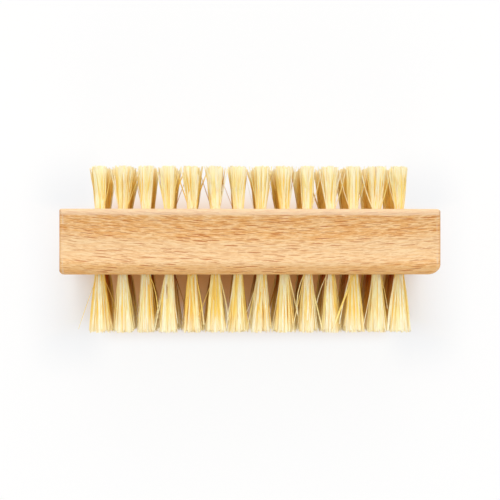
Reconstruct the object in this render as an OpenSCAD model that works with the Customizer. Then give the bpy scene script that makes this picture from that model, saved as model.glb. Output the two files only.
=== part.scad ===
// Two-faced wooden nail brush, lying on one grip side.
// X runs along the block, +Y points out of the short bristles, -Y out of the long ones, +Z is up.
// The origin is on the surface that the brush lies on, below the middle of the whole brush.

/* [Block] */
// Length of the beech block
block_length = 95; // [86:0.5:130]
// Thickness of the block, from one bristle face to the other
block_thickness = 16.4; // [15:0.1:30]
// Width of the block, across the rows of tufts
block_width = 38; // [36:0.5:60]
// Radius of the block's long edges beside the long bristles
long_edge_radius = 2.6; // [0.6:0.1:3]
// Radius of the block's long edges beside the short bristles
short_edge_radius = 1.2; // [0.6:0.1:3]
// Radius of the left end's edge beside the long bristles, softened by hand
left_corner_radius = 1.1; // [0.4:0.1:3]
// Radius of the right end's edge beside the long bristles, softened by hand
right_corner_radius = 3; // [0.4:0.1:4]
// Radius of the left end's edge beside the short bristles
left_short_corner_radius = 0.6; // [0.4:0.1:3]
// Radius of the right end's edge beside the short bristles
right_short_corner_radius = 1; // [0.4:0.1:3]
// Radius of the edges between both ends and the grip sides
end_edge_radius = 0.9; // [0.3:0.1:1.5]

/* [Finger grooves] */
// Depth of the finger groove along each grip side
groove_depth = 0.8; // [0.3:0.1:1.5]
// Width of the flat land between a finger groove and a rounded long edge
land_width = 0.5; // [0.3:0.1:2]

/* [Tufts] */
// Number of tufts in each row
tufts_per_row = 14; // [4:1:14]
// Spacing of the tufts along a row
tuft_pitch = 5.84; // [5.55:0.01:6.2]
// Rows of tufts on the long-bristled face
long_rows = 5; // [1:1:5]
// Rows of tufts on the short-bristled face
short_rows = 5; // [1:1:5]
// Spacing of the rows across the block
row_pitch = 6; // [5.6:0.1:6.6]
// Length of the long bristles, from the block to their trimmed tips
long_bristle_length = 14.5; // [8:0.1:25]
// Length of the short bristles, from the block to their trimmed tips
short_bristle_length = 10.8; // [6:0.1:20]

/* [Holes and anchors] */
// Diameter of the drilled hole that holds a tuft
hole_diameter = 2.6; // [2.4:0.1:3.2]
// Depth of each drilled hole
hole_depth = 6; // [4:0.5:6.5]
// Gap between a tuft's packed root and the wall of its hole
root_clearance = 0.05; // [0.02:0.01:0.1]
// Distance that a tuft's packed root stops below the mouth of its hole
root_recess = 0.3; // [0.1:0.1:1]
// Length of an anchor, which bites into the wood on both sides of its hole
anchor_length = 3.4; // [3.2:0.1:4.2]
// Height of an anchor along its hole
anchor_height = 1.8; // [1:0.1:2.5]
// Thickness of an anchor's flat wire
anchor_thickness = 0.45; // [0.3:0.05:0.8]
// Thickness of the fibre fold that lies under an anchor
fold_thickness = 0.7; // [0.5:0.1:1.2]
// Gap round an anchor in the fibre fold and in its notches
anchor_clearance = 0.03; // [0.01:0.01:0.08]

/* [Strands] */
// Width of a strand, a lock of fibres, where it leaves the root
strand_root_width = 0.78; // [0.4:0.01:0.8]
// Width of a strand at its trimmed tip
strand_tip_width = 1.15; // [0.4:0.05:1.3]
// Distance from a tuft's axis to its strands at the root
strand_root_radius = 0.68; // [0.66:0.01:0.76]
// Distance from a tuft's axis to its strands at the tips
strand_tip_radius = 1.75; // [1.2:0.05:1.9]

/* [Hidden] */
// Slice of the block's wood along the bottoms of a row's holes, which the row's roots are fused to
slice_thickness = 0.8;
slice_width = 2;
slice_end_margin = 1.6;
slice_clearance = 0.05;
// How far a strand starts inside its root, and how far every cut runs past the wood
strand_root_depth = 0.4;
overrun = 1;
// Size of the cut-off lower corners of an anchor
anchor_bite = 0.5;

strands_per_tuft = 3;
// Share of a strand's height that its bend is at, and of its splay that it has there
bend_height_share = 0.45;
bend_splay_share = 0.28;
// Shares by which the tip of each strand strays from an even ring
tip_radius_jitter_share = 0.1;
tip_turn_jitter = 9;
long_seed = 100;
short_seed = 500;
arc_steps = 96;

long_tuft_nodes = [for (row = [1:long_rows]) str("long_tufts_row_", row)];
short_tuft_nodes = [for (row = [1:short_rows]) str("short_tufts_row_", row)];
long_anchor_nodes = [for (row = [1:long_rows]) str("long_anchors_row_", row)];
short_anchor_nodes = [for (row = [1:short_rows]) str("short_anchors_row_", row)];

// The whole brush is centred on Y = 0, so the block sits nearer the short bristles
block_middle_y = (long_bristle_length - short_bristle_length) / 2;
long_face_y = block_middle_y - block_thickness / 2;
short_face_y = block_middle_y + block_thickness / 2;
groove_start_y = long_face_y + long_edge_radius + land_width;
groove_end_y = short_face_y - short_edge_radius - land_width;
groove_chord = groove_end_y - groove_start_y;
groove_radius = (pow(groove_chord / 2, 2) + pow(groove_depth, 2)) / (2 * groove_depth);
root_radius = hole_diameter / 2 - root_clearance;
slice_length = (tufts_per_row - 1) * tuft_pitch + 2 * slice_end_margin;
anchor_foot_depth = hole_depth - fold_thickness;

function tuft_x(column) = (column - (tufts_per_row - 1) / 2) * tuft_pitch;
function row_z(row, rows) = block_width / 2 + ((rows + 1) / 2 - row) * row_pitch;
function on_ring(radius, angle) = [radius * cos(angle), radius * sin(angle)];

// Square ring of a strand: its centre, height, width and turn
function strand_ring(centre, height, width, turn) = [
    for (corner = [0:3])
        let (offset = on_ring(width / sqrt(2), turn + 45 + 90 * corner))
            [centre.x + offset.x, centre.y + offset.y, height]
];

// Rectangle with its own radius at each corner, from the lower left corner anticlockwise
module rounded_rectangle(low, high, radii) {
    inner = [
        [low.x + radii[0], low.y + radii[0]],
        [high.x - radii[1], low.y + radii[1]],
        [high.x - radii[2], high.y - radii[2]],
        [low.x + radii[3], high.y - radii[3]]
    ];
    polygon([
        [low.x + radii[0], low.y], [high.x - radii[1], low.y],
        [high.x, low.y + radii[1]], [high.x, high.y - radii[2]],
        [high.x - radii[2], high.y], [low.x + radii[3], high.y],
        [low.x, high.y - radii[3]], [low.x, low.y + radii[0]]
    ]);
    for (corner = [0:3])
        translate(inner[corner]) circle(r = radii[corner], $fn = arc_steps);
}

// Section of the block, in Y and Z, with a finger groove in the lower and in the upper side
module block_section() {
    groove_y = (groove_start_y + groove_end_y) / 2;
    difference() {
        rounded_rectangle(
            [long_face_y, 0], [short_face_y, block_width],
            [long_edge_radius, short_edge_radius, short_edge_radius, long_edge_radius]
        );
        translate([groove_y, groove_depth - groove_radius]) circle(r = groove_radius, $fn = arc_steps);
        translate([groove_y, block_width - groove_depth + groove_radius])
            circle(r = groove_radius, $fn = arc_steps);
    }
}

// Outline of the block seen from a grip side, in X and Y
module block_side_outline() {
    rounded_rectangle(
        [-block_length / 2, long_face_y], [block_length / 2, short_face_y],
        [left_corner_radius, right_corner_radius, right_short_corner_radius, left_short_corner_radius]
    );
}

// Outline of the block seen from a bristle face, in X and Z
module block_face_outline() {
    rounded_rectangle(
        [-block_length / 2, 0], [block_length / 2, block_width],
        [end_edge_radius, end_edge_radius, end_edge_radius, end_edge_radius]
    );
}

module block_body() {
    intersection() {
        rotate([90, 0, 90])
            linear_extrude(height = block_length + 2 * overrun, center = true) block_section();
        translate([0, 0, -overrun])
            linear_extrude(height = block_width + 2 * overrun) block_side_outline();
        translate([0, short_face_y + overrun, 0]) rotate([90, 0, 0])
            linear_extrude(height = block_thickness + 2 * overrun) block_face_outline();
    }
}

// Place a row on a bristle face: its Z then points out of the face, from the face's plane
module on_long_face(row) {
    translate([0, long_face_y, row_z(row, long_rows)]) rotate([90, 0, 0]) children();
}

module on_short_face(row) {
    translate([0, short_face_y, row_z(row, short_rows)]) rotate([-90, 0, 0]) children();
}

// Drilled hole, with the two grooves that a driven anchor scrapes in its wall
module hole_cut() {
    notch_length = anchor_length + 2 * anchor_clearance;
    notch_width = anchor_thickness + 2 * anchor_clearance;
    translate([0, 0, -hole_depth])
        cylinder(d = hole_diameter, h = hole_depth + overrun, $fn = arc_steps);
    translate([-notch_width / 2, -notch_length / 2, -anchor_foot_depth - anchor_clearance])
        cube([notch_width, notch_length, anchor_foot_depth + anchor_clearance + overrun]);
}

module backing_slice(gap) {
    translate([-slice_length / 2 - gap, -slice_width / 2 - gap, -hole_depth - slice_thickness / 2 - gap])
        cube([slice_length + 2 * gap, slice_width + 2 * gap, slice_thickness + 2 * gap]);
}

module row_cut() {
    backing_slice(slice_clearance);
    for (column = [0:tufts_per_row - 1])
        translate([tuft_x(column), 0, 0]) hole_cut();
}

module block() {
    color("#dcae78") difference() {
        block_body();
        for (row = [1:long_rows]) on_long_face(row) row_cut();
        for (row = [1:short_rows]) on_short_face(row) row_cut();
    }
}

// Flat wire anchor across a tuft, with its lower corners cut off so that it bites into the wood
module anchor() {
    translate([anchor_thickness / 2, 0, -anchor_foot_depth]) rotate([90, 0, -90])
        linear_extrude(height = anchor_thickness)
            polygon([
                [-anchor_length / 2, anchor_bite], [-anchor_length / 2 + anchor_bite, 0],
                [anchor_length / 2 - anchor_bite, 0], [anchor_length / 2, anchor_bite],
                [anchor_length / 2, anchor_height], [-anchor_length / 2, anchor_height]
            ]);
}

// One strand, from inside the root to the trimmed tip, with a bend on the way
module strand(root, tip, turn, bristle_length) {
    foot = -root_recess - strand_root_depth;
    bend = root + (tip - root) * bend_splay_share;
    bend_width = strand_root_width + (strand_tip_width - strand_root_width) * bend_height_share;
    points = concat(
        strand_ring(root, foot, strand_root_width, turn),
        strand_ring(bend, bristle_length * bend_height_share, bend_width, turn),
        strand_ring(tip, bristle_length, strand_tip_width, turn)
    );
    sides = [
        for (ring = [0:1], corner = [0:3])
            let (a = 4 * ring + corner, b = 4 * ring + (corner + 1) % 4)
                each [[a, a + 4, b + 4], [a, b + 4, b]]
    ];
    polyhedron(points, concat([[0, 1, 2], [0, 2, 3]], sides, [[11, 10, 9], [11, 9, 8]]));
}

// Packed root of a tuft: its fibres are folded under the anchor and fill the hole round it
module tuft_root() {
    slot_length = hole_diameter + 2 * anchor_clearance;
    slot_width = anchor_thickness + 2 * anchor_clearance;
    difference() {
        translate([0, 0, -hole_depth])
            cylinder(r = root_radius, h = hole_depth - root_recess, $fn = arc_steps);
        translate([-slot_width / 2, -slot_length / 2, -anchor_foot_depth - anchor_clearance])
            cube([slot_width, slot_length, anchor_height + 2 * anchor_clearance]);
    }
}

module tuft(bristle_length, seed) {
    first_turn = rands(0, 120, 1, seed)[0];
    radius_jitters = rands(-1, 1, strands_per_tuft, seed + 1);
    turn_jitters = rands(-1, 1, strands_per_tuft, seed + 2);
    tuft_root();
    for (lock = [0:strands_per_tuft - 1]) {
        turn = first_turn + lock * 360 / strands_per_tuft;
        tip_radius = strand_tip_radius * (1 + tip_radius_jitter_share * radius_jitters[lock]);
        tip_turn = turn + tip_turn_jitter * turn_jitters[lock];
        strand(on_ring(strand_root_radius, turn), on_ring(tip_radius, tip_turn), turn, bristle_length);
    }
}

// Row of tufts, fused to a thin slice of the block's wood along the bottoms of their holes
module tuft_row(bristle_length, seed) {
    color("#f2dc9f") {
        backing_slice(0);
        for (column = [0:tufts_per_row - 1])
            translate([tuft_x(column), 0, 0]) tuft(bristle_length, seed + 5 * column);
    }
}

module anchor_row() {
    color("#b9bcc0")
        for (column = [0:tufts_per_row - 1])
            translate([tuft_x(column), 0, 0]) anchor();
}

block();
for (row = [1:long_rows])
    on_long_face(row) tuft_row(long_bristle_length, long_seed * row);
for (row = [1:short_rows])
    on_short_face(row) tuft_row(short_bristle_length, short_seed + long_seed * row);
for (row = [1:long_rows])
    on_long_face(row) anchor_row();
for (row = [1:short_rows])
    on_short_face(row) anchor_row();
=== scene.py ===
"""Two-faced wooden nail brush on a white table, seen from straight above."""
import math

import bpy
import numpy as np
from mathutils import Matrix, Vector


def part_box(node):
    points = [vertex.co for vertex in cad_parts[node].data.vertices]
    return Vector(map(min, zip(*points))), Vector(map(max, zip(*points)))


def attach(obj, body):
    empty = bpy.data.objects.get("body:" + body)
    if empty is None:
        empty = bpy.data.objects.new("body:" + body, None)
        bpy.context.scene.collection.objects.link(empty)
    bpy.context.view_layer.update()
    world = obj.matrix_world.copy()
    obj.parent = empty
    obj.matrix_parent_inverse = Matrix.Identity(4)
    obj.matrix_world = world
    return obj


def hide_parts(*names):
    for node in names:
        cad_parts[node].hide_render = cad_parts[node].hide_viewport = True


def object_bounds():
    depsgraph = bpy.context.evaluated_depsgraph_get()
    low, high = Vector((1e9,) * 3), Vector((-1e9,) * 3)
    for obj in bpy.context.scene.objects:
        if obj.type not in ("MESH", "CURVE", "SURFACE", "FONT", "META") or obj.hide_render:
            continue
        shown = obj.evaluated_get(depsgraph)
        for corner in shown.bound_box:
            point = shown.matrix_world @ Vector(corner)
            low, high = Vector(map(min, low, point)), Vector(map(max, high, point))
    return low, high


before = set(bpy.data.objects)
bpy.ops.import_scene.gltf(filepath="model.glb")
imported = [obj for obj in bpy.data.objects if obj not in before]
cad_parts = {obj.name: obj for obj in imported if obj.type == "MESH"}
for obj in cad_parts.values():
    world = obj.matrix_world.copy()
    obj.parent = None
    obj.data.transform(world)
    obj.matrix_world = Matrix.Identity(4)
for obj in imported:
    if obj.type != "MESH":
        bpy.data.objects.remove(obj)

cad_low, cad_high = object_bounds()

MM = 0.001
BODY = "root"
ROWS = range(1, 6)
TUFTS_PER_ROW = 14
# Way that each face's bristles point, along Y
BRISTLES_POINT = {"long": -1, "short": 1}

# Photograph: square, with the block's middle at this pixel, and its scale on the block's near side
PHOTO_WIDTH = 500
FACE_PIXELS_PER_MM = 4.024
BLOCK_MIDDLE_PIXEL = (250.65, 241.65)
# Pixel that lies straight below the camera, which the block's depth runs towards
FOOT_PIXEL = (210, 252)
CAMERA_HEIGHT_OVER_FACE = 366 * MM
NEAREST_SEEN = 10 * MM
SENSOR_WIDTH_MM = 36

# Lamps: place, width and power, and the point that they are aimed at
LAMPS = {
    "window_side": ((0.0, 0.85, 0.5), 0.7, 3.15),
    "front_side": ((0.0, -0.8, 0.45), 0.5, 3.0),
    "left_side": ((-0.8, 0.1, 0.42), 0.5, 1.2),
    "right_side": ((0.8, 0.1, 0.42), 0.5, 1.2),
    "overhead": ((0.0, 0.1, 0.95), 0.7, 1.9),
}
LAMP_AIM = (0, 0, 0)
LAMP_COLOUR = (1.0, 0.985, 0.96)
ROOM_COLOUR = (1.0, 0.97, 0.93, 1)
# Strength of the room's light away from the window and towards it, and how far towards it the
# light gets full
ROOM_LIGHT = (0.16, 1.25)
WINDOW_SIDE = 0.9

# Table, and its colour in the light that it throws back on the brush
TABLE_WIDTH = 6
TABLE_COLOUR = (0.82, 0.78, 0.72, 1)
WHITE = (1, 1, 1, 1)
# Share of the table's white that stays in a shadow away from the brush
TABLE_GLOW = 0.9
# Painted light and painted shade on the paper below the brush: how much brighter it shows
# there, and the warm brown shade painted there, where only light from the fibres and the wood gets
UNDER_PAINTED_LIGHT_GAIN = 1.15
UNDER_PAINTED_SHADE_TINT = (0.76, 0.5, 0.305)
# Shade below the brush: how far its middle is moved to the long bristles, its half width, how far
# inside the block's ends it stops, and the widths over which it fades
SHADE_SHIFT = 6.3 * MM
SHADE_HALF_WIDTH = 7 * MM
SHADE_SIDE_FADE = 13.5 * MM
SHADE_END_INSET = 11 * MM
SHADE_END_FADE = 25 * MM
# Where the painted brown shade below the brush stops inside the block's ends, and the width over
# which it fades in
TINT_END_INSET = 12 * MM
TINT_END_FADE = 5 * MM
# Painted warm light on the paper beside the short bristles, for the light that the wood and the
# fibres throw there, and where it starts and is full, in Y, from outside and from below the block
PAINTED_WARM_LIGHT = (0.95, 0.8, 0.68, 1)
PAINTED_WARM_OUTER = (20 * MM, 10.5 * MM)
PAINTED_WARM_INNER = (0.0, 6 * MM)
# Faint painted shade on the paper beside both ends: where it starts and is full past the block's
# end, before it, and across
END_SHADE = (0.915, 0.925, 0.94, 1)
END_SHADE_OUTER = (16 * MM, 2 * MM)
END_SHADE_INNER = (-12 * MM, -2 * MM)
END_SHADE_SHIFT = 4 * MM
END_SHADE_SIDE = (34 * MM, 16 * MM)

# Beech: scales of its patterns in cells a metre, along the grain, across it and into the wood
BAND_SCALE = (14, 260, 110)
STREAK_SCALE = (420, 3300, 1400)
LINE_SCALE = (150, 2500, 900)
PORE_SCALE = (560, 4600, 3000)
# Rays: length, thickness and depth
LONG_RAY = (5.0 * MM, 0.32 * MM, 9 * MM)
SHORT_RAY = (2.8 * MM, 0.26 * MM, 6 * MM)
SHORT_RAY_SHIFT = 0.31
# Share of the cells that hold a ray at the long bristles, and how many more do at the short ones
RAY_SHARE = 0.26
RAY_SHARE_RISE = 0.18
# Rays in neighbouring layers of the wood don't lie over each other
RAY_STAGGER = 7.0
# How far rays show on the faces that hold the tufts, which cut them flat
RAY_ON_BRISTLE_FACE = 0.22
GRAIN_BOW = 1.0
GRAIN_WANDER = 1.4 * MM
GRAIN_WANDER_STRETCH = (1.0, 2.2, 1.5)
GRAIN_WANDER_SCALE = 42.0
# Beech colours. The pale cream in the lower half of the groove is a painted sheen, the deeper
# orange on the bottom rounding is painted shade, and the pale edges are wear and a painted
# highlight
BEECH = {
    "body": (244, 200, 142), "band": (238, 182, 114),
    "pale_line": (246, 214, 166), "dark_line": (228, 164, 92),
    "pale_streak": (250, 216, 166), "dark_streak": (220, 150, 82),
    "pore": (208, 138, 70), "ray": (190, 102, 34),
    "painted_sheen": (240, 216, 180), "rounding_shade": (244, 184, 104),
    "wear_and_highlight": (230, 206, 178), "end_grain": (206, 146, 92),
}
# Distances below the block's faces at which each strip of wear and painted highlight along the
# edges starts and is full
WEAR_AND_HIGHLIGHT_STRIP = {
    "X": (1.25 * MM, 0.95 * MM), "Y": (1.9 * MM, 1.3 * MM), "Z": (1.6 * MM, 0.9 * MM),
}
WEAR_AND_HIGHLIGHT_END_INSET = (0.55 * MM, 0.8 * MM)
WEAR_AND_HIGHLIGHT_SHARE = 0.6
RUBBING_SCALE = 700.0
END_GRAIN_DEPTH = (0.55 * MM, 0.1 * MM)
END_GRAIN_SHARE = 0.55
BRISTLE_FACE_DEPTH = (0.7 * MM, 0.15 * MM)

# Fibres, which are thin stiff leaf strands, with six sides and a flat section
FIBRES_PER_TUFT = 96
FIBRE_SIDES = 6
FIBRE_RADIUS = 0.205 * MM
FIBRE_RADIUS_SPREAD = 0.4
FIBRE_FLATNESS = (0.28, 0.45)
FIBRE_TWIST = 0.3
FIBRE_TIP_SHARE = 0.85
# Heights of a fibre's rings above the wood, as shares of its free length
RING_SHARES = (0.0, 0.22, 0.45, 0.7, 0.9, 1.0)
# Light that passes each wall of a fibre
FIBRE_SHADOW = (0.96, 0.88, 0.62, 1)
STRIPE_SCALE = (2600, 260, 2600)
# Colours of a fibre by its tone, from a rare brown one to a bleached one
FIBRE_COLOURS = (
    (0.0, (176, 104, 52)), (0.05, (246, 190, 62)), (0.3, (255, 222, 112)),
    (0.55, (255, 238, 152)), (0.8, (255, 248, 192)), (1.0, (255, 253, 222)),
)
STRIPE_COLOUR = (244, 200, 100)
TIP_COLOUR = (255, 252, 230)
# Painted shade colour that the hidden roots of the inner rows are multiplied with
ROOT_SHADE_TINT = (0.42, 0.1, 0.01, 1)

# Tufts: the anchor's thickness, the root's size in its hole, and the splay at the tips
ANCHOR_THICKNESS = 0.45 * MM
ROOT_RADIUS = 1.13 * MM
ROOT_DEPTH = 5.9 * MM
ROOT_SQUEEZE = 0.97
TIP_RADIUS = {"long": 2.45 * MM, "short": 2.0 * MM}
GOLDEN_ANGLE = math.pi * (3 - math.sqrt(5))
# Exponent of the fibres' places in the root: under a half, it crowds them at the outside
CROWDING = 0.33
SPLAY_EASE = 0.97
# How much tufts differ from each other in their splay and lean
TUFT_SPLAY_SPREAD = 0.1
TUFT_LEAN = 0.22 * MM
# How much fibres of a tuft differ in their turn round it, their reach and their bend
ROOT_TURN_SPREAD = 0.12
TIP_TURN_SPREAD = 0.22
TIP_REACH_SPREAD = 0.13
FIBRE_SWAY = 0.14 * MM
STRAY_SHARE = 0.045
STRAY_REACH = 1.5 * MM
# Uneven trim: its middle, lowest and highest cut, in units of its spread, and the fibres that
# were cut much shorter
TRIM_SPREAD = {"long": 0.32 * MM, "short": 0.28 * MM}
TRIM_MIDDLE = -0.5
TRIM_LIMITS = (-2.4, 0.8)
CUT_SHORT_SHARE = 0.06
CUT_SHORT_MM = (0.4, 2.2)
SEED = {"long": 900, "short": 1100}

# Tones of golden, middle and pale fibres, and how many there are of each
FIBRE_TONES = ((0.22, 0.45), (0.65, 0.85), (1.0, 1.3))
FIBRE_TONE_SHARES = (0.2, 0.34, 0.46)
TUFT_TONE_SPREAD = 0.05
DARK_FIBRE_SHARE = 0.002
PALEST = 1.0
LEAST_TONE = 0.05
# Painted shade in the middle of a tuft: the darker golden tone of its core fibres, and how fast it
# rises to the outside
CORE_SHADE_TONE = 0.15
CORE_FALL = 1.8
# Painted shade on the fibres that stand towards the next tuft of the row: their tone
SIDEWAYS_SHADE_TONE = 0.6
# The flat section turns its broad side to the near and far sides this much more than to the others
BROADSIDE = 2.2
# Tone of each row: the inner rows' darker, more golden tone is painted shade, for light that
# reaches them only through the other rows
ROW_SHADE_TONE = {
    "long": {1: 1.0, 2: 0.72, 3: 0.68, 4: 0.72, 5: 1.0},
    "short": {1: 1.0, 2: 0.36, 3: 0.34, 4: 0.38, 5: 0.8},
}
# How much of the difference from the palest tone each face's fibres keep
TONE_DEPTH = {"long": 1.0, "short": 0.85}
# Painted shade at each row's roots, which are hidden among the others: how strongly a darker golden
# colour is painted there
INNER_SHADE = {1: 0.0, 2: 0.95, 3: 1.0, 4: 0.8, 5: 0.15}
INNER_SHADE_SHARE = {"long": 1.0, "short": 0.3}
INNER_SHADE_FALL = 1.2

# Fibres that stand out of the front row: tuft, foot, bow and tip along the row in mm, reach, tone
LOOSE_FIBRES = {
    ("long", 1): (
        (0, -0.4, -0.1, -5.2, 0.95, 0.3), (2, 0.9, 0.7, 3.0, 0.76, 0.3),
        (3, -1.0, 0.0, -4.1, 1.0, 0.85), (3, -0.9, 0.1, -3.7, 0.98, 0.7),
        (3, -0.5, 0.0, -0.5, 0.42, 0.0), (4, 0.9, 0.2, 3.0, 0.88, 0.3),
        (6, -0.9, 0.0, -3.3, 1.0, 0.9), (7, -0.9, 0.3, -3.8, 0.66, 0.8),
        (8, -0.9, 0.0, -3.4, 1.0, 0.9), (9, -0.9, -0.8, -2.6, 0.7, 0.7),
        (9, -0.8, 0.0, -3.6, 0.85, 0.4), (10, -0.9, -0.3, -3.6, 0.5, 0.75),
        (11, -0.9, -0.2, -3.7, 0.86, 0.9), (12, -0.9, 0.1, -3.5, 0.9, 0.85),
        (12, 0.9, 0.2, 2.6, 0.6, 0.4), (13, -0.9, -0.4, -3.2, 0.93, 0.8),
        (1, 0.9, 0.2, 3.0, 0.9, 0.5), (5, 0.9, 0.3, 3.3, 0.8, 0.6),
    ),
    ("short", 1): (
        (0, 0.9, 0.2, 3.0, 0.9, 0.5), (1, -0.9, -0.1, -2.9, 0.95, 0.8),
        (3, -0.9, -0.1, -3.1, 0.95, 0.5), (4, -0.9, 0.0, -2.8, 1.0, 0.6),
        (5, 0.9, 0.1, 3.0, 0.95, 0.8), (7, -0.9, -0.1, -3.1, 1.0, 0.6),
        (8, 0.9, 0.1, 2.9, 1.0, 0.8), (9, 0.9, 0.2, 3.3, 0.9, 0.7),
        (10, -0.9, 0.0, -3.2, 1.0, 0.9), (10, 0.9, 0.3, 3.5, 0.85, 0.6),
        (11, -0.9, -0.3, -3.7, 0.9, 0.9), (11, 0.9, 0.2, 3.6, 1.0, 0.95),
        (11, 0.2, 0.5, 2.9, 0.95, 0.3), (12, -0.9, -0.3, -3.8, 0.8, 0.8),
        (12, 0.9, 0.2, 3.4, 0.95, 0.5), (13, -0.9, -0.3, -3.6, 1.0, 0.9),
        (13, -0.6, -0.2, -2.6, 0.8, 0.6),
    ),
}
LOOSE_RADIUS = FIBRE_RADIUS * 0.7
# How far towards the camera a loose fibre starts and ends, and where its foot is held
LOOSE_START = ROOT_RADIUS * 0.6
LOOSE_LIFT = 1.9 * MM
LOOSE_GRIP = ROOT_RADIUS * 0.4
LOOSE_FOOT_LIMIT = 0.9


def face_point(pixel):
    """Point on the block's near side, in X and Y, that a pixel of the photograph shows."""
    low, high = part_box("block")
    middle = (low + high) / 2
    across = (pixel[0] - BLOCK_MIDDLE_PIXEL[0]) / FACE_PIXELS_PER_MM * MM
    up = (BLOCK_MIDDLE_PIXEL[1] - pixel[1]) / FACE_PIXELS_PER_MM * MM
    return Vector((middle.x + across, middle.y + up, high.z))


def add_camera():
    """Camera over its foot pixel, turned so that the photograph's middle is the picture's."""
    camera = bpy.data.objects.new("camera", bpy.data.cameras.new("camera"))
    bpy.context.scene.collection.objects.link(camera)
    camera.location = face_point(FOOT_PIXEL) + Vector((0, 0, CAMERA_HEIGHT_OVER_FACE))
    photo_middle = face_point((PHOTO_WIDTH / 2, PHOTO_WIDTH / 2))
    forward = (photo_middle - camera.location).normalized()
    right = forward.cross(Vector((0, 1, 0))).normalized()
    up = right.cross(forward)
    camera.rotation_euler = Matrix((right, up, -forward)).transposed().to_euler()
    view_width = PHOTO_WIDTH / FACE_PIXELS_PER_MM * MM
    camera.data.sensor_width = SENSOR_WIDTH_MM
    camera.data.lens = SENSOR_WIDTH_MM * CAMERA_HEIGHT_OVER_FACE / view_width
    camera.data.clip_start = NEAREST_SEEN
    bpy.context.scene.camera = camera


def light_scene():
    for name, (place, width, power) in LAMPS.items():
        light = bpy.data.lights.new(name, "AREA")
        light.shape = "DISK"
        light.size = width
        light.energy = power
        light.color = LAMP_COLOUR
        lamp = bpy.data.objects.new(name, light)
        bpy.context.scene.collection.objects.link(lamp)
        lamp.location = place
        towards = Vector(LAMP_AIM) - Vector(place)
        lamp.rotation_euler = towards.to_track_quat("-Z", "Y").to_euler()
    light_room()


def light_room():
    """Pale room that is brighter on the window's side, down to the horizon."""
    world = bpy.data.worlds.new("room")
    bpy.context.scene.world = world
    world.use_nodes = True
    nodes = Nodes(world.node_tree)
    towards = nodes.add("ShaderNodeTexCoord").outputs["Generated"]
    strength = nodes.remap(nodes.split(towards)["Y"], 0.0, WINDOW_SIDE, *ROOM_LIGHT)
    background = world.node_tree.nodes["Background"]
    nodes.fill(background.inputs["Color"], ROOM_COLOUR)
    nodes.fill(background.inputs["Strength"], strength)


class Nodes:
    """Shorthand for a node tree: each call adds a node, and sets or links its inputs."""

    def __init__(self, tree):
        self.tree = tree

    def fill(self, socket, value):
        if isinstance(value, bpy.types.NodeSocket):
            self.tree.links.new(value, socket)
        else:
            socket.default_value = value

    def add(self, kind, inputs=None, **settings):
        node = self.tree.nodes.new(kind)
        for name, value in settings.items():
            setattr(node, name, value)
        for name, value in (inputs or {}).items():
            self.fill(node.inputs[name], value)
        return node

    def math(self, operation, *values):
        inputs = dict(enumerate(values))
        return self.add("ShaderNodeMath", inputs, operation=operation).outputs[0]

    def vector(self, operation, *values):
        inputs = dict(enumerate(values))
        return self.add("ShaderNodeVectorMath", inputs, operation=operation).outputs[0]

    def split(self, vector):
        return self.add("ShaderNodeSeparateXYZ", {"Vector": vector}).outputs

    def noise(self, vector, scale, detail=2.0, roughness=0.5):
        inputs = {"Vector": vector, "Scale": scale, "Detail": detail, "Roughness": roughness}
        return self.add("ShaderNodeTexNoise", inputs).outputs["Fac"]

    def ramp(self, factor, stops):
        node = self.add("ShaderNodeValToRGB", {"Fac": factor})
        elements = node.color_ramp.elements
        while len(elements) < len(stops):
            elements.new(0.5)
        for element, (place, colour) in zip(elements, stops):
            element.position = place
            element.color = colour
        return node.outputs["Color"]

    def remap(self, value, low, high, to_low=0.0, to_high=1.0):
        inputs = {
            "Value": value, "From Min": low, "From Max": high, "To Min": to_low, "To Max": to_high,
        }
        node = self.add("ShaderNodeMapRange", inputs, interpolation_type="SMOOTHSTEP")
        return node.outputs["Result"]

    def mix(self, factor, first, second, blend="MIX"):
        node = self.add("ShaderNodeMix", data_type="RGBA", blend_type=blend)
        for name, kind, value in (
            ("Factor", "VALUE", factor), ("A", "RGBA", first), ("B", "RGBA", second),
        ):
            self.fill(next(s for s in node.inputs if s.name == name and s.type == kind), value)
        return next(s for s in node.outputs if s.type == "RGBA")


def srgb(red, green, blue):
    """Linear colour of the 0 to 255 values that a colour is seen with."""
    def linear(value):
        share = value / 255
        return share / 12.92 if share <= 0.04045 else ((share + 0.055) / 1.055) ** 2.4
    return (linear(red), linear(green), linear(blue), 1)


def new_group(name, inputs, output, kind):
    """Node group with a vector and these numbers going in, and one socket coming out."""
    tree = bpy.data.node_groups.new(name, "ShaderNodeTree")
    tree.interface.new_socket("Vector", in_out="INPUT", socket_type="NodeSocketVector")
    for label in inputs:
        tree.interface.new_socket(label, in_out="INPUT", socket_type="NodeSocketFloat")
    tree.interface.new_socket(output, in_out="OUTPUT", socket_type=kind)
    nodes = Nodes(tree)
    given = tree.nodes.new("NodeGroupInput").outputs
    wanted = tree.nodes.new("NodeGroupOutput").inputs[output]
    return tree, nodes, given, wanted


def empty_material(name):
    material = bpy.data.materials.new(name)
    material.use_nodes = True
    material.node_tree.nodes.clear()
    return material, Nodes(material.node_tree)


def new_material(name):
    material, nodes = empty_material(name)
    shader = nodes.add("ShaderNodeBsdfPrincipled")
    nodes.add("ShaderNodeOutputMaterial", {"Surface": shader.outputs["BSDF"]})
    return material, nodes, shader


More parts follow.
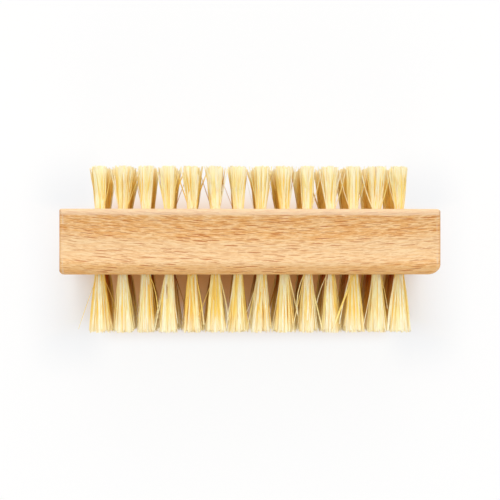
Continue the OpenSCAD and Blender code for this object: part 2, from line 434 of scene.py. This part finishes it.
def ray_fleck_group():
    """Lens-shaped rays of beech: thin across the grain, long along it, and wide into the wood."""
    tree, nodes, given, wanted = new_group(
        "ray_flecks", ("Length", "Thickness", "Depth", "Share"), "Mask", "NodeSocketFloat")
    size = nodes.add(
        "ShaderNodeCombineXYZ", {0: given["Length"], 1: given["Thickness"], 2: given["Depth"]})
    place = nodes.split(given["Vector"])
    staggered = nodes.math("MULTIPLY_ADD", place["Y"], RAY_STAGGER, place["X"])
    moved = nodes.add("ShaderNodeCombineXYZ", {0: staggered, 1: place["Y"], 2: place["Z"]})
    cells = nodes.vector("DIVIDE", moved.outputs[0], size.outputs[0])
    voronoi = nodes.add(
        "ShaderNodeTexVoronoi", {"Vector": cells, "Scale": 1.0, "Randomness": 0.9})
    body = nodes.remap(voronoi.outputs["Distance"], 0.37, 0.33)
    chance = nodes.add("ShaderNodeSeparateColor", {"Color": voronoi.outputs["Color"]})
    picked = nodes.math("LESS_THAN", chance.outputs["Red"], given["Share"])
    strength = nodes.math("MULTIPLY_ADD", chance.outputs["Green"], 0.5, 0.5)
    nodes.fill(wanted, nodes.math("MULTIPLY", nodes.math("MULTIPLY", body, picked), strength))
    return tree


def grain_group():
    """Coordinates that follow the grain: it sags towards both ends and wanders a little."""
    tree, nodes, given, wanted = new_group(
        "grain_course", ("Bow", "Wander"), "Vector", "NodeSocketVector")
    place = nodes.split(given["Vector"])
    bow = nodes.math("MULTIPLY", nodes.math("MULTIPLY", place["X"], place["X"]), given["Bow"])
    stretched = nodes.vector("MULTIPLY", given["Vector"], GRAIN_WANDER_STRETCH)
    drift = nodes.noise(stretched, GRAIN_WANDER_SCALE, 1.5)
    shift = nodes.math("MULTIPLY", nodes.math("SUBTRACT", drift, 0.5), given["Wander"])
    across = nodes.math("ADD", nodes.math("SUBTRACT", place["Y"], bow), shift)
    course = nodes.add("ShaderNodeCombineXYZ", {0: place["X"], 1: across, 2: place["Z"]})
    nodes.fill(wanted, course.outputs[0])
    return tree


def edge_masks(nodes, place):
    """Masks of the block's surface.

    The first is where sanding and handling pale the edges, and where a painted highlight lies on
    the long edges towards the short bristles, which face the light, and in a line just inside each
    end; the second the end grain, which takes more wax, and the third the two faces that hold the
    tufts.
    """
    low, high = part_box("block")
    middle, half = (low + high) / 2, (high - low) / 2
    centred = nodes.vector("ABSOLUTE", nodes.vector("SUBTRACT", place, tuple(middle)))
    below = nodes.split(nodes.vector("SUBTRACT", tuple(half), centred))
    near = {axis: nodes.remap(below[axis], *strip) for axis, strip in WEAR_AND_HIGHLIGHT_STRIP.items()}
    # Only the long edges towards the short bristles, which face the light, get this paleness
    upper = nodes.remap(nodes.split(place)["Y"], middle.y, middle.y + MM)
    long_edges = nodes.math("MULTIPLY", nodes.math("MULTIPLY", near["Y"], near["Z"]), upper)
    inside_edge = nodes.math("MULTIPLY", near["X"], nodes.remap(below["X"], *WEAR_AND_HIGHLIGHT_END_INSET))
    rubbed = nodes.remap(nodes.noise(place, RUBBING_SCALE, 1.0), 0.4, 0.65, 0.1, 0.9)
    inside_edge = nodes.math("MULTIPLY", inside_edge, rubbed)
    end_edges = nodes.math("MULTIPLY", inside_edge, nodes.math("MAXIMUM", near["Y"], near["Z"]))
    wear_and_highlight = nodes.math("MULTIPLY", nodes.math("MAXIMUM", long_edges, end_edges), WEAR_AND_HIGHLIGHT_SHARE)
    end_grain = nodes.remap(below["X"], *END_GRAIN_DEPTH)
    bristle_face = nodes.remap(below["Y"], *BRISTLE_FACE_DEPTH)
    return wear_and_highlight, end_grain, bristle_face


def beech_material():
    """Waxed beech: pale orange wood with dark rays, cream streaks, fine pores and soft bands, and
    painted sheen, shade and highlight where the light falls on the groove and the edges.
    """
    material, nodes, shader = new_material("beech")
    rays = ray_fleck_group()
    place = nodes.add("ShaderNodeTexCoord").outputs["Object"]
    course = nodes.add(
        "ShaderNodeGroup", {"Vector": place, "Bow": GRAIN_BOW, "Wander": GRAIN_WANDER},
        node_tree=grain_group())
    along = course.outputs["Vector"]

    def pattern(scale, detail, roughness):
        return nodes.noise(nodes.vector("MULTIPLY", along, scale), 1.0, detail, roughness)

    def tinted(mask, shade):
        return nodes.mix(mask, colour, srgb(*BEECH[shade]))

    def flecks(size, share, shift):
        moved = nodes.vector("ADD", along, (shift, shift, shift))
        length, thickness, depth = size
        inputs = {
            "Vector": moved, "Length": length, "Thickness": thickness, "Depth": depth,
            "Share": share,
        }
        return nodes.add("ShaderNodeGroup", inputs, node_tree=rays).outputs["Mask"]

    bands = pattern(BAND_SCALE, 3.0, 0.55)
    streaks = pattern(STREAK_SCALE, 2.0, 0.6)
    lines = pattern(LINE_SCALE, 1.0, 0.5)
    pores = pattern(PORE_SCALE, 3.0, 0.6)
    across = nodes.split(along)["Y"]
    # Darker, more orange and with more rays towards the short bristles
    toward_short_side = nodes.remap(across, -1.5 * MM, 4.5 * MM)
    mottled = nodes.math("MULTIPLY_ADD", toward_short_side, 0.2, bands)
    colour = srgb(*BEECH["body"])
    colour = tinted(nodes.remap(mottled, 0.3, 0.9), "band")
    colour = tinted(nodes.remap(lines, 0.5, 0.6, 0.0, 0.5), "pale_line")
    colour = tinted(nodes.remap(lines, 0.47, 0.36, 0.0, 0.4), "dark_line")
    colour = tinted(nodes.remap(streaks, 0.5, 0.6, 0.0, 0.7), "pale_streak")
    colour = tinted(nodes.remap(streaks, 0.46, 0.36, 0.0, 0.45), "dark_streak")
    colour = tinted(nodes.remap(pores, 0.52, 0.64, 0.0, 0.6), "pore")
    # Painted sheen: paler in the lower half of the groove, which faces the light
    colour = tinted(
        nodes.math("MULTIPLY", nodes.remap(across, 3 * MM, 0.5 * MM, 0.0, 0.3),
                   nodes.remap(across, -5.4 * MM, -3.8 * MM)), "painted_sheen")
    # Painted shade: deeper orange on the bottom rounding, which faces away from the light
    true_y = nodes.split(place)["Y"]
    colour = tinted(nodes.remap(true_y, -3.2 * MM, -5 * MM, 0.0, 0.4), "rounding_shade")
    share = nodes.math("MULTIPLY_ADD", toward_short_side, RAY_SHARE_RISE, RAY_SHARE)
    long_rays = flecks(LONG_RAY, share, 0.0)
    short_rays = flecks(SHORT_RAY, share, SHORT_RAY_SHIFT)
    dark = nodes.math("MAXIMUM", long_rays, nodes.math("MULTIPLY", short_rays, 0.8))
    wear_and_highlight, end_grain, bristle_face = edge_masks(nodes, place)
    seen_flat = nodes.remap(bristle_face, 0.0, 1.0, 1.0, RAY_ON_BRISTLE_FACE)
    dark = nodes.math("MULTIPLY", dark, seen_flat)
    colour = tinted(dark, "ray")
    # Wear and painted highlight on the edges
    colour = tinted(wear_and_highlight, "wear_and_highlight")
    colour = tinted(nodes.math("MULTIPLY", end_grain, END_GRAIN_SHARE), "end_grain")
    nodes.fill(shader.inputs["Base Color"], colour)
    nodes.fill(shader.inputs["Roughness"], nodes.remap(streaks, 0.3, 0.7, 0.38, 0.5))
    nodes.fill(shader.inputs["Specular IOR Level"], 0.22)
    height = nodes.math(
        "SUBTRACT", nodes.math("MULTIPLY", streaks, 0.6), nodes.math("MULTIPLY", dark, 0.5))
    bump = nodes.add("ShaderNodeBump", {"Height": height, "Strength": 0.25, "Distance": 0.05 * MM})
    nodes.fill(shader.inputs["Normal"], bump.outputs["Normal"])
    return material


def fibre_material():
    """Pale leaf fibre: each strand has its own tone, a bleached tip and fine golden stripes, with
    painted darker golden shade at the hidden roots of the inner rows.
    """
    material, nodes, shader = new_material("plant_fibre")
    tone, along, inside = (
        nodes.add("ShaderNodeAttribute", attribute_name=name).outputs["Fac"]
        for name in ("tone", "along", "inside"))
    place = nodes.add("ShaderNodeTexCoord").outputs["Object"]
    # Tones a tenth higher all along, and a touch higher at the root: painted light where the block
    # shades the roots
    lifted_tone = nodes.math("MULTIPLY", tone, nodes.remap(along, 0.0, 1.0, 1.12, 1.1))
    colour = nodes.ramp(lifted_tone, [(stop, srgb(*shade)) for stop, shade in FIBRE_COLOURS])
    stripe = nodes.noise(nodes.vector("MULTIPLY", place, STRIPE_SCALE), 1.0, 2.0)
    striped = nodes.remap(stripe, 0.45, 0.65, 0.0, 0.36)
    colour = nodes.mix(striped, colour, srgb(*STRIPE_COLOUR))
    colour = nodes.mix(nodes.remap(along, 0.6, 1.0, 0.0, 0.6), colour, srgb(*TIP_COLOUR))
    # Painted shade: darker golden roots in the inner rows, by the inside attribute
    painted_root_shade = nodes.mix(1.0, colour, ROOT_SHADE_TINT, blend="MULTIPLY")
    colour = nodes.mix(inside, colour, painted_root_shade)
    nodes.fill(shader.inputs["Base Color"], colour)
    nodes.fill(shader.inputs["Roughness"], nodes.remap(stripe, 0.3, 0.7, 0.32, 0.48))
    nodes.fill(shader.inputs["Specular IOR Level"], 0.3)
    let_light_through(nodes, shader)
    return material


def let_light_through(nodes, shader):
    """Fibres are so thin that their shadow is light and golden."""
    shadow = nodes.add("ShaderNodeLightPath").outputs["Is Shadow Ray"]
    through = nodes.add("ShaderNodeBsdfTransparent", {"Color": FIBRE_SHADOW})
    both = nodes.add(
        "ShaderNodeMixShader",
        {0: shadow, 1: shader.outputs["BSDF"], 2: through.outputs["BSDF"]})
    output = next(node for node in nodes.tree.nodes if node.type == "OUTPUT_MATERIAL")
    nodes.fill(output.inputs["Surface"], both.outputs[0])


def anchor_material():
    """Drawn flat wire, with fine lines along it."""
    material, nodes, shader = new_material("anchor_wire")
    place = nodes.add("ShaderNodeTexCoord").outputs["Object"]
    lines = nodes.noise(nodes.vector("MULTIPLY", place, (9000, 9000, 500)), 1.0, 2.0)
    colour = nodes.mix(nodes.remap(lines, 0.3, 0.7), srgb(176, 177, 180), srgb(214, 215, 217))
    nodes.fill(shader.inputs["Base Color"], colour)
    nodes.fill(shader.inputs["Metallic"], 1.0)
    nodes.fill(shader.inputs["Roughness"], nodes.remap(lines, 0.3, 0.7, 0.28, 0.45))
    return material


def table_material():
    """White paper, overexposed in the photograph, so only the shade below the brush is deep; there
    its shade is brightened and painted warm brown, beside the short bristles it carries painted
    warm light, and beside the ends a faint painted shade.
    """
    material, nodes = empty_material("white_table")
    seen = nodes.add("ShaderNodeLightPath").outputs["Is Camera Ray"]
    place = nodes.split(nodes.add("ShaderNodeTexCoord").outputs["Object"])
    along = nodes.math("ABSOLUTE", place["X"])
    past_end = nodes.math("SUBTRACT", along, cad_high.x - SHADE_END_INSET)
    from_shade = nodes.math("ABSOLUTE", nodes.math("ADD", place["Y"], SHADE_SHIFT))
    past_side = nodes.math("SUBTRACT", from_shade, SHADE_HALF_WIDTH)
    clear = nodes.math(
        "MAXIMUM", nodes.remap(past_end, 0.0, SHADE_END_FADE),
        nodes.remap(past_side, 0.0, SHADE_SIDE_FADE))
    # Painted brown shade and brightening of the paper below the tufts
    past_tufts = nodes.math("SUBTRACT", along, cad_high.x - TINT_END_INSET)
    tinted = nodes.remap(past_tufts, TINT_END_FADE, 0.0)
    shaded_paper = (*[UNDER_PAINTED_LIGHT_GAIN * value for value in UNDER_PAINTED_SHADE_TINT], 1)
    under = nodes.mix(tinted, (UNDER_PAINTED_LIGHT_GAIN, UNDER_PAINTED_LIGHT_GAIN, UNDER_PAINTED_LIGHT_GAIN, 1), shaded_paper)
    visible = nodes.mix(clear, under, (1 - TABLE_GLOW, 1 - TABLE_GLOW, 1 - TABLE_GLOW, 1))
    # Painted warm light on the paper beside the short bristles
    painted_warmth = nodes.math("MULTIPLY", tinted, nodes.remap(place["Y"], *PAINTED_WARM_OUTER))
    painted_warmth = nodes.math("MULTIPLY", painted_warmth, nodes.remap(place["Y"], *PAINTED_WARM_INNER))
    tint = nodes.mix(painted_warmth, WHITE, PAINTED_WARM_LIGHT)
    # Faint painted shade on the paper beside both ends
    by_end = nodes.math("SUBTRACT", along, cad_high.x)
    by_end = nodes.math(
        "MULTIPLY", nodes.remap(by_end, *END_SHADE_OUTER), nodes.remap(by_end, *END_SHADE_INNER))
    off_side = nodes.math("ABSOLUTE", nodes.math("ADD", place["Y"], END_SHADE_SHIFT))
    by_end = nodes.math("MULTIPLY", by_end, nodes.remap(off_side, *END_SHADE_SIDE))
    tint = nodes.mix(by_end, tint, END_SHADE)
    visible = nodes.mix(1.0, visible, tint, blend="MULTIPLY")
    paper = nodes.add(
        "ShaderNodeBsdfDiffuse", {"Color": nodes.mix(seen, TABLE_COLOUR, visible)})
    strength = nodes.math("MULTIPLY", nodes.math("MULTIPLY", clear, TABLE_GLOW), seen)
    glow = nodes.add("ShaderNodeEmission", {"Color": tint, "Strength": strength})
    both = nodes.add(
        "ShaderNodeAddShader", {0: paper.outputs["BSDF"], 1: glow.outputs["Emission"]})
    nodes.add("ShaderNodeOutputMaterial", {"Surface": both.outputs["Shader"]})
    return material


def add_table():
    bpy.ops.object.select_all(action="DESELECT")
    bpy.ops.mesh.primitive_plane_add(size=TABLE_WIDTH, location=(0, 0, 0))
    table = bpy.context.object
    table.name = "table"
    table.data.materials.append(table_material())


def model_fibre():
    """One straight fibre of unit size, drawn up ring by ring from its round section."""
    bpy.ops.object.select_all(action="DESELECT")
    bpy.ops.mesh.primitive_circle_add(
        vertices=FIBRE_SIDES, radius=1, fill_type="NGON", rotation=(0, 0, math.pi / FIBRE_SIDES))
    fibre = bpy.context.object
    bpy.ops.object.transform_apply(location=False, rotation=True, scale=False)
    bpy.ops.object.mode_set(mode="EDIT")
    bpy.ops.mesh.select_all(action="SELECT")
    bpy.ops.mesh.flip_normals()
    for _ in RING_SHARES:
        bpy.ops.mesh.extrude_region_move(TRANSFORM_OT_translate={"value": (0, 0, 1)})
    bpy.ops.mesh.select_all(action="SELECT")
    bpy.ops.mesh.normals_make_consistent(inside=False)
    bpy.ops.object.mode_set(mode="OBJECT")
    points = np.array([vertex.co for vertex in fibre.data.vertices])
    polygons = [tuple(polygon.vertices) for polygon in fibre.data.polygons]
    bpy.data.objects.remove(fibre)
    return points, polygons


def tuft_curves(rng, face, free_length):
    """Middle lines of a tuft's fibres, in the tuft's own frame, and how far out each fibre is.

    The third number of a point is its height over the wood.
    """
    count = FIBRES_PER_TUFT
    order = np.arange(count)
    spread = ((order + 0.5) / count) ** CROWDING
    turn = order * GOLDEN_ANGLE + rng.uniform(0, 2 * math.pi)
    turn = turn + rng.normal(0, ROOT_TURN_SPREAD, count)
    root = ROOT_RADIUS * spread[:, None] * np.stack([np.cos(turn), np.sin(turn)], 1)
    tip_turn = turn + rng.normal(0, TIP_TURN_SPREAD, count)
    tip_reach = TIP_RADIUS[face] * spread * rng.normal(1.0, TIP_REACH_SPREAD, count)
    tip = tip_reach[:, None] * np.stack([np.cos(tip_turn), np.sin(tip_turn)], 1)
    tip = tip * rng.normal(1.0, TUFT_SPLAY_SPREAD) + rng.normal(0, TUFT_LEAN, 2)
    stray = rng.random(count) < STRAY_SHARE
    tip[stray] += rng.normal(0, STRAY_REACH, (stray.sum(), 2))
    trim = rng.normal(TRIM_MIDDLE, 1, count).clip(*TRIM_LIMITS)
    trimmed = free_length + trim * TRIM_SPREAD[face]
    cut_short = rng.random(count) < CUT_SHORT_SHARE
    trimmed[cut_short] -= rng.uniform(*CUT_SHORT_MM, cut_short.sum()) * MM
    shares = np.array(RING_SHARES)
    ease = shares ** SPLAY_EASE
    sway = rng.normal(0, FIBRE_SWAY, (count, 2))
    middle = root[:, None, :] + (tip - root)[:, None, :] * ease[None, :, None]
    middle += sway[:, None, :] * np.sin(math.pi * shares)[None, :, None]
    height = trimmed[:, None] * shares[None, :]
    free = np.concatenate([middle, height[:, :, None]], 2)
    foot = np.concatenate([root * ROOT_SQUEEZE, np.full((count, 1), -ROOT_DEPTH)], 1)
    return np.concatenate([foot[:, None, :], free], 1), spread


def loose_curves(face, row, free_length):
    """Each loose fibre's tuft along the row, its middle line and its tone."""
    shares = np.array(RING_SHARES)
    curves = []
    for tuft, foot, bow, tip, reach, tone in LOOSE_FIBRES.get((face, row), ()):
        across = foot + (tip - foot) * shares + 4 * bow * shares * (1 - shares)
        forward = LOOSE_START + (LOOSE_LIFT - LOOSE_START) * shares
        free = np.stack([across * MM, forward, reach * free_length * shares], 1)
        held = math.copysign(min(abs(foot), LOOSE_FOOT_LIMIT), foot) * MM
        curves.append((tuft, np.concatenate([[[held, LOOSE_GRIP, -ROOT_DEPTH]], free]), tone))
    return curves


def outward_turn(curve):
    """Turn round the tuft at which a fibre ends, drawn towards the near and far sides."""
    return math.atan2(curve[-1, 1] * BROADSIDE, curve[-1, 0])


def fibre_tone(rng, face, row, curve, spread, tuft_tone):
    """Tone of one fibre: pale at the near, far and outer sides of its tuft, golden in its core; the
    golden core, the sides towards the next tufts and the inner rows' darker tone are painted shade.
    """
    # Painted shade on the fibres that stand towards the next tufts
    sideways_shade = SIDEWAYS_SHADE_TONE + (1 - SIDEWAYS_SHADE_TONE) * abs(math.sin(outward_turn(curve)))
    own = rng.choice([rng.uniform(*tones) for tones in FIBRE_TONES], p=FIBRE_TONE_SHARES)
    core_shade = CORE_SHADE_TONE + (1 - CORE_SHADE_TONE) * spread ** CORE_FALL
    tone = sideways_shade * core_shade * own * ROW_SHADE_TONE[face][row] + tuft_tone
    tone = PALEST - TONE_DEPTH[face] * (PALEST - tone)
    return 0.0 if rng.random() < DARK_FIBRE_SHARE else np.clip(tone, LEAST_TONE, PALEST)


def keep_keen(mesh, points):
    """Keep both keen edges of each flat fibre, and its cut ends."""
    turn = np.arctan2(points[:, 1], points[:, 0]) / (2 * math.pi)
    corner = np.round(turn * FIBRE_SIDES).astype(int) % FIBRE_SIDES
    ends = np.empty(2 * len(mesh.edges), int)
    mesh.edges.foreach_get("vertices", ends)
    first, second = corner[ends.reshape(-1, 2) % len(points)].T
    keen = (first == second) & (first % (FIBRE_SIDES // 2) == 0)
    mesh.attributes.new("sharp_edge", "BOOLEAN", "EDGE").data.foreach_set("value", keen)
    corners = np.empty(len(mesh.polygons), int)
    mesh.polygons.foreach_get("loop_total", corners)
    cut_ends = corners == FIBRE_SIDES
    mesh.attributes.new("sharp_face", "BOOLEAN", "FACE").data.foreach_set("value", cut_ends)


def fibre_row(face, row, template):
    """All fibres of one row, in place of its plain strands."""
    points, polygons = template
    sign = BRISTLES_POINT[face]
    anchors_low, anchors_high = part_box(f"{face}_anchors_row_{row}")
    block_low, block_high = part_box("block")
    first_column = anchors_low.x + ANCHOR_THICKNESS / 2
    last_column = anchors_high.x - ANCHOR_THICKNESS / 2
    columns = np.linspace(first_column, last_column, TUFTS_PER_ROW)
    row_z = (anchors_low.z + anchors_high.z) / 2
    if face == "short":
        face_y, free_length = block_high.y, cad_high.y - block_high.y
    else:
        face_y, free_length = block_low.y, block_low.y - cad_low.y
    rng = np.random.default_rng(SEED[face] + row)
    levels = points[:, 2].round().astype(int)
    top = levels.max()
    level_radii = np.interp(np.arange(top + 1), [0, top], [1.0, FIBRE_TIP_SHARE])
    level_shares = np.array((0.0,) + RING_SHARES)
    # Painted shade at the roots, fading towards the tips
    painted_root_shade = INNER_SHADE[row] * INNER_SHADE_SHARE[face]
    level_shades = painted_root_shade * (1 - level_shares) ** INNER_SHADE_FALL
    coords, tones, shares, shades = [], [], [], []

    def add_fibre(column, curve, radius, tone):
        flat = rng.uniform(*FIBRE_FLATNESS)
        twist = outward_turn(curve) + math.pi / 2 + rng.normal(0, FIBRE_TWIST)
        turned_x = points[:, 0] * math.cos(twist) - points[:, 1] * flat * math.sin(twist)
        turned_z = points[:, 0] * math.sin(twist) + points[:, 1] * flat * math.cos(twist)
        thick = radius * level_radii[levels]
        centre = curve[levels]
        x = column + centre[:, 0] + turned_x * thick
        y = face_y + sign * centre[:, 2]
        z = row_z + centre[:, 1] + turned_z * thick
        coords.append(np.stack([x, y, z], 1))
        tones.append(np.full(len(points), tone))
        shares.append(level_shares[levels])
        shades.append(level_shades[levels])

    for column in columns:
        curves, spreads = tuft_curves(rng, face, free_length)
        tuft_tone = rng.normal(0, TUFT_TONE_SPREAD)
        for curve, spread in zip(curves, spreads):
            radius = FIBRE_RADIUS * (1 + rng.uniform(-1, 1) * FIBRE_RADIUS_SPREAD)
            tone = fibre_tone(rng, face, row, curve, spread, tuft_tone)
            add_fibre(column, curve, radius, tone)
    for tuft, curve, tone in loose_curves(face, row, free_length):
        add_fibre(columns[tuft], curve, LOOSE_RADIUS, tone)
    all_polygons = []
    for fibre in range(len(coords)):
        first = fibre * len(points)
        all_polygons += [tuple(first + corner for corner in polygon) for polygon in polygons]
    name = f"{face}_fibres_row_{row}"
    mesh = bpy.data.meshes.new(name)
    mesh.from_pydata(np.concatenate(coords).tolist(), [], all_polygons)
    for label, values in (("tone", tones), ("along", shares), ("inside", shades)):
        attribute = mesh.attributes.new(label, "FLOAT", "POINT")
        attribute.data.foreach_set("value", np.concatenate(values))
    mesh.shade_smooth()
    keep_keen(mesh, points)
    piece = bpy.data.objects.new(name, mesh)
    bpy.context.scene.collection.objects.link(piece)
    return piece


def add_fibres():
    template = model_fibre()
    material = fibre_material()
    for face in BRISTLES_POINT:
        for row in ROWS:
            piece = fibre_row(face, row, template)
            piece.data.materials.append(material)
            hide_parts(f"{face}_tufts_row_{row}")
            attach(piece, BODY)


def dress(node, material):
    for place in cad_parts[node].material_slots:
        place.material = material


def dress_wood_and_wire():
    dress("block", beech_material())
    wire = anchor_material()
    for face in BRISTLES_POINT:
        for row in ROWS:
            dress(f"{face}_anchors_row_{row}", wire)


add_camera()
light_scene()
add_table()
dress_wood_and_wire()
add_fibres()
bpy.context.scene.view_settings.view_transform = "Standard"
